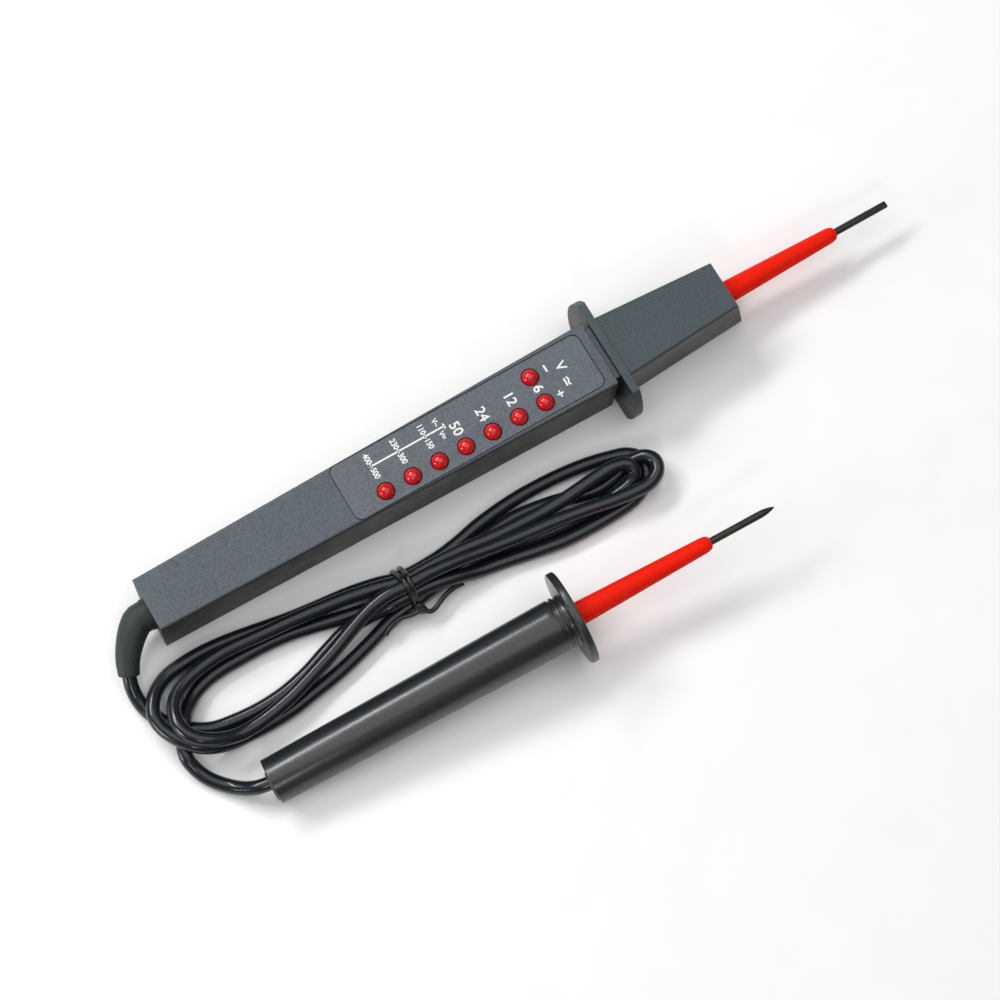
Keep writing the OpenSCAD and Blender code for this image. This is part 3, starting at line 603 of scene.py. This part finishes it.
def blade_tip():
    """The round rod, flattened to a screwdriver edge at its end."""
    rounding = BLADE_END - BLADE_ROUND - BLADE_FLAT
    stations = [BLADE_START, BLADE_FLAT]
    stations += [BLADE_FLAT + rounding * i / BLADE_STEPS for i in range(1, BLADE_STEPS + 1)]
    stations.append(BLADE_END)
    points = []
    for x in stations:
        share = max(0, (x - BLADE_FLAT) / (BLADE_END - BLADE_FLAT))
        half = TIP_R + (BLADE_EDGE - TIP_R) * share
        trim = BLADE_TRIM if x == BLADE_END else 1
        for j in range(BLADE_SIDES):
            angle = 2 * math.pi * j / BLADE_SIDES
            y = TIP_R * math.cos(angle) * trim
            z = max(-half, min(half, TIP_R * math.sin(angle))) * trim
            points.append(TIP_AXIS @ Vector((x * MM, y * MM, z * MM)))
    return add_mesh("tip_blade", points, ring_faces(len(stations), BLADE_SIDES), 25)


# the pin from inside the sleeve to its point, as (along, radius)
PIN_PROFILE = [
    (70, CENTRE), (70, TIP_R), (158.2, TIP_R), (159.3, 1.02), (160.6, 0.78), (161.8, 0.46),
    (162.4, 0.24), (162.6, CENTRE),
]

finish_piece(sleeve("tip_sleeve_skin", *TESTER_SLEEVE, TIP_AXIS), SLEEVE, "sleeve_red",
             "tester", "tip_sleeve")
finish_piece(blade_tip(), TIP, "tip_steel", "tester", "tip_rod")
finish_piece(sleeve("probe_sleeve_skin", *PROBE_SLEEVE, PROBE), SLEEVE, "sleeve_red",
             "probe", "probe_sleeve")
finish_piece(lathe("probe_pin_skin", PIN_PROFILE, PROBE, 48), TIP, "tip_steel", "probe",
             "probe_pin")


HANDLE_START = 0.6
HANDLE_END_R = 6.45
HANDLE_ROUND = 0.35
HANDLE_BORE_R = 4.9
HANDLE_NECK_R = 7.9
# the handle swells from its rear end to the guard
HANDLE_SWELL = [(28, 7.1), (55, 7.4), (80, 7.75), (90, 7.86)]
# how far each ring groove is behind the guard, then one side's half widths and radii
HANDLE_GROOVES = (2.9, 1.3)
GROOVE_SIDE = [(0.62, HANDLE_NECK_R), (0.42, 7.84), (0.3, 7.4)]
GUARD_REAR = 95.4
GUARD_FRONT = 97.8
GUARD_R = 14.2
GUARD_ROUND = 0.6
# the small fillet from the neck up to the guard's rear face
GUARD_FILLET = [(-0.3, HANDLE_NECK_R), (-0.08, 8.0), (0, 8.25)]
SOCKET_R = 3.6
SOCKET_DEPTH = 8


def make_handle():
    """The turned handle with two ring grooves behind its round guard."""
    profile = [(HANDLE_START, HANDLE_BORE_R), (HANDLE_START, HANDLE_END_R)]
    profile += arc(HANDLE_START + HANDLE_ROUND, HANDLE_END_R, HANDLE_ROUND, 180, 90, 5)
    profile += HANDLE_SWELL
    for back in HANDLE_GROOVES:
        middle = GUARD_REAR - back
        profile += [(middle - half, radius) for half, radius in GROOVE_SIDE]
        profile += [(middle + half, radius) for half, radius in reversed(GROOVE_SIDE)]
    profile += [(GUARD_REAR + along, radius) for along, radius in GUARD_FILLET]
    edge = GUARD_R - GUARD_ROUND
    profile.append((GUARD_REAR, edge))
    profile += arc(GUARD_REAR + GUARD_ROUND, edge, GUARD_ROUND, 180, 90, 6)
    profile += arc(GUARD_FRONT - GUARD_ROUND, edge, GUARD_ROUND, 90, 0, 6)
    socket_end = GUARD_FRONT - SOCKET_DEPTH
    profile += [(GUARD_FRONT, SOCKET_R), (socket_end, SOCKET_R), (socket_end, HANDLE_BORE_R)]
    return lathe("handle", profile, PROBE, 128, closed=True)


finish_piece(make_handle(), HANDLE, "handle_black", "probe", "probe_handle")


# ---- markings on the panel: raised ink, read across the body ----

PANEL_TOP = 21.0
INK_RISE = 0.04
INK_SPREAD = 0.06
# the height of a capital letter, as a share of the font's size
CAPITAL = 0.7


def text_mark(name, words, x, y, size, squeeze=1):
    """Lettering whose lines run towards -Y, standing just proud of the panel."""
    data = bpy.data.curves.new(name, "FONT")
    data.body = words
    data.size = size * MM / CAPITAL
    data.align_x = "CENTER"
    data.align_y = "CENTER"
    data.offset = INK_SPREAD * MM
    data.extrude = INK_RISE * MM
    data.resolution_u = 4
    mark = bpy.data.objects.new(name, data)
    bpy.context.scene.collection.objects.link(mark)
    mark.rotation_euler = (0, 0, -math.pi / 2)
    mark.scale = (squeeze, 1, 1)
    mark.location = (x * MM, y * MM, PANEL_TOP * MM)
    bpy.context.view_layer.update()
    drawn = mark.evaluated_get(bpy.context.evaluated_depsgraph_get())
    mesh = bpy.data.meshes.new_from_object(drawn)
    mesh.transform(mark.matrix_world)
    bpy.data.objects.remove(mark)
    solid = bpy.data.objects.new(name, mesh)
    bpy.context.scene.collection.objects.link(solid)
    return solid


def stroke(name, x0, y0, x1, y1, width):
    """A straight printed line between two points on the panel."""
    along = Vector((x1 - x0, y1 - y0)).normalized()
    across = Vector((-along.y, along.x)) * width / 2
    corners = [Vector((x0, y0)) - across, Vector((x1, y1)) - across,
               Vector((x1, y1)) + across, Vector((x0, y0)) + across]
    points = []
    for z in (PANEL_TOP - INK_RISE, PANEL_TOP + INK_RISE):
        points += [(c.x * MM, c.y * MM, z * MM) for c in corners]
    return add_mesh(name, points, ring_faces(2, 4))


# numbers beside the lamps, with their x and y
VOLTS = [("50", 26.5, 1.1), ("24", 35.1, 1.1), ("12", 44.4, 1.1), ("6", 53, -0.3)]
VOLTS_SIZE = 3.0
# the pairs beside the scale's line, and where each stands along it
SCALE_PAIRS = [("400", "500", 0), ("230", "300", 8.9), ("110", "150", 17.7)]
PAIR_SIZE = 1.7
PAIR_SQUEEZE = 0.9
UPPER_Y = 5.9
LOWER_Y = 1.1
# a tick across the scale's line: from y, to y, and the width
TICK = (2.9, 4.1, 0.4)
# printed lines, as x and y of both ends and a width
SCALE_LINES = [(-0.4, 3.5, 24, 3.5, 0.5), (24, 2.7, 24, 4.3, 0.5)]
# the kinds of current at the end of the scale's line
KINDS = [("V~", 22.2, 5.6), ("V=", 22.2, 1.3)]
KINDS_SIZE = 1.6


def make_marks():
    marks = [text_mark("mark", words, x, y, VOLTS_SIZE) for words, x, y in VOLTS]
    for upper, lower, x in SCALE_PAIRS:
        marks.append(text_mark("mark", upper, x, UPPER_Y, PAIR_SIZE, PAIR_SQUEEZE))
        marks.append(text_mark("mark", lower, x, LOWER_Y, PAIR_SIZE, PAIR_SQUEEZE))
        marks.append(stroke("mark", x, TICK[0], x, TICK[1], TICK[2]))
    marks += [stroke("mark", *line) for line in SCALE_LINES]
    for words, x, y in KINDS:
        marks.append(text_mark("mark", words, x, y, KINDS_SIZE, PAIR_SQUEEZE))
    # at the front: volts, the sign for direct and alternating current, and the two poles
    marks.append(text_mark("mark", "V", 62.1, 2.3, VOLTS_SIZE))
    marks.append(stroke("mark", 61, -3.8, 61, -1.3, 0.5))
    marks.append(text_mark("mark", "~", 62.1, -2.6, 3.4))
    marks.append(stroke("mark", 58, 2.8, 58, 5, 0.6))
    marks.append(text_mark("mark", "+", 57.7, -4.8, VOLTS_SIZE))
    return join("panel_marks", marks)


marks = make_marks()
marks.data.materials.clear()
marks.data.materials.append(INK)
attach(marks, "tester")


# ---- floor and light ----

FLOOR_HALF = 3


def make_floor():
    corners = [(-1, -1), (1, -1), (1, 1), (-1, 1)]
    points = [(x * FLOOR_HALF, y * FLOOR_HALF, 0) for x, y in corners]
    floor = add_mesh("floor", points, [(0, 1, 2, 3)])
    floor.data.materials.append(material("floor_pale", (0.9, 0.9, 0.9), 0.9, 0.01, 60, 0.01))


# each light's place, what it points at, its size in metres and its power in watts
LIGHTS = {
    "strip": ((-0.3, 0.72, 0.8), (-0.03, 0, 0), (0.8, 0.16), 8),
    "overhead": ((0.1, 0.1, 1.6), (0, 0, 0), (2.2, 1.6), 16),
    "left": ((-0.9, 0.05, 0.25), (0, -0.02, 0.01), (0.3, 0.2), 2.5),
    "front": ((-0.4, -0.7, 0.8), (0, 0, 0), (0.12, 0.12), 1),
}
WORLD_STRENGTH = 0.2


def area_light(name, place, aim, size, power):
    data = bpy.data.lights.new(name, "AREA")
    data.shape = "RECTANGLE"
    data.size, data.size_y = size
    data.energy = power
    light = bpy.data.objects.new(name, data)
    bpy.context.scene.collection.objects.link(light)
    light.location = place
    light.rotation_euler = (Vector(aim) - Vector(place)).to_track_quat("-Z", "Y").to_euler()


make_floor()
for light_name, settings in LIGHTS.items():
    area_light(light_name, *settings)
world = bpy.data.worlds.new("studio")
world.use_nodes = True
background = world.node_tree.nodes["Background"]
background.inputs["Color"].default_value = (1, 1, 1, 1)
background.inputs["Strength"].default_value = WORLD_STRENGTH
bpy.context.scene.world = world
bpy.context.scene.view_settings.view_transform = "Standard"
